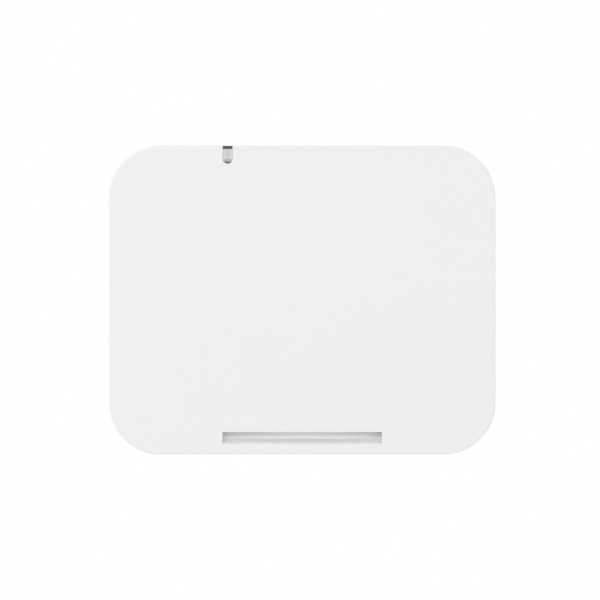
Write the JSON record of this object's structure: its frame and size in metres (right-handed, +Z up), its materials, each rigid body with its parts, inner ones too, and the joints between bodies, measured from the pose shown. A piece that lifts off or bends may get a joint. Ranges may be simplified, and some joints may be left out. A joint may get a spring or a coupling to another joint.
{
  "type": "ceiling access point",
  "caption": "Flat white rounded rectangular wireless access point with a status window, a grip slot, a rear port bay and a keyhole-mounted steel bracket.",
  "frame": {"origin": "centre of the bracket's back face, on the wall or ceiling plane", "axes": "+X right and +Z up when seen from the front; +Y points into the wall, so the front faces -Y"},
  "size_m": [0.2, 0.0385, 0.16],
  "materials": {
    "antenna_steel": "tin plated stamping",
    "bezel_plastic": "matt dark grey",
    "bracket_zinc": "zinc plated stamping",
    "button_plastic": "moulded black",
    "capacitor_can": "bare can",
    "ceramic": "glazed ceramic",
    "chip_plastic": "moulded epoxy",
    "circuit_board": "green solder resist with traces",
    "cover_plastic": "fine spark-eroded texture, matt white",
    "foot_rubber": "moulded grey",
    "gold_contact": "gold flashed",
    "housing_paint": "die-cast, white powder coat",
    "inductor_ferrite": "pressed ferrite",
    "label_film": "blank silver-white film",
    "lead_jacket": "thin fluoropolymer jacket",
    "led": "clear resin in a white body",
    "lens": "frosted translucent light pipe",
    "plate_aluminium": "mill finish sheet",
    "screw_steel": "zinc plated",
    "shield_steel": "tin plated",
    "socket_plastic": "moulded black nylon",
    "standoff_brass": "turned",
    "stud_steel": "turned and plated",
    "thermal_pad": "soft filled silicone",
    "trim_plastic": "smooth satin white"
  },
  "bodies": {
    "wall_bracket": {"bracket_plate": "bracket_zinc", "bracket_studs": "stud_steel"},
    "access_point": {"antenna_lead_lower_left": "lead_jacket", "antenna_lead_lower_right": "lead_jacket", "antenna_lead_upper_left": "lead_jacket", "antenna_lead_upper_right": "lead_jacket", "antenna_lower_left": "antenna_steel", "antenna_lower_right": "antenna_steel", "antenna_plate": "plate_aluminium", "antenna_upper_left": "antenna_steel", "antenna_upper_right": "antenna_steel", "board_screws": "screw_steel", "capacitor_1": "capacitor_can", "capacitor_2": "capacitor_can", "capacitor_3": "capacitor_can", "case_screws": "screw_steel", "front_cover": "cover_plastic", "inductor_1": "inductor_ferrite", "inductor_2": "inductor_ferrite", "iot_antenna": "ceramic", "lan_magnetics": "chip_plastic", "lan_socket_contacts": "gold_contact", "lan_socket_insert": "socket_plastic", "lan_socket_shell": "shield_steel", "lead_plug_lower_left": "gold_contact", "lead_plug_lower_right": "gold_contact", "lead_plug_upper_left": "gold_contact", "lead_plug_upper_right": "gold_contact", "main_board": "circuit_board", "memory_chip": "chip_plastic", "plate_screws": "screw_steel", "power_inlet": "socket_plastic", "power_pin": "gold_contact", "processor_chip": "chip_plastic", "processor_shield": "shield_steel", "processor_thermal_pad": "thermal_pad", "radio_left_chip": "chip_plastic", "radio_left_shield": "shield_steel", "radio_left_thermal_pad": "thermal_pad", "radio_right_chip": "chip_plastic", "radio_right_shield": "shield_steel", "radio_right_thermal_pad": "thermal_pad", "rating_label": "label_film", "rear_housing": "housing_paint", "reset_switch": "socket_plastic", "rubber_feet": "foot_rubber", "slot_trim": "trim_plastic", "standoffs": "standoff_brass", "status_bezel": "bezel_plastic", "status_led": "led", "status_lens": "lens", "uplink_magnetics": "chip_plastic", "uplink_socket_contacts": "gold_contact", "uplink_socket_insert": "socket_plastic", "uplink_socket_shell": "shield_steel"},
    "reset_key": {"reset_button": "button_plastic"}
  },
  "joints": [
    {"name": "case_slide", "type": "slide", "parent": "wall_bracket", "child": "access_point", "axis": [0, 0, 1], "range_m": [0, 0.01]},
    {"name": "reset_press", "type": "slide", "parent": "access_point", "child": "reset_key", "axis": [0, 0, 1], "range_m": [0, 0.0005], "stiffness_N_per_m": 600}
  ]
}
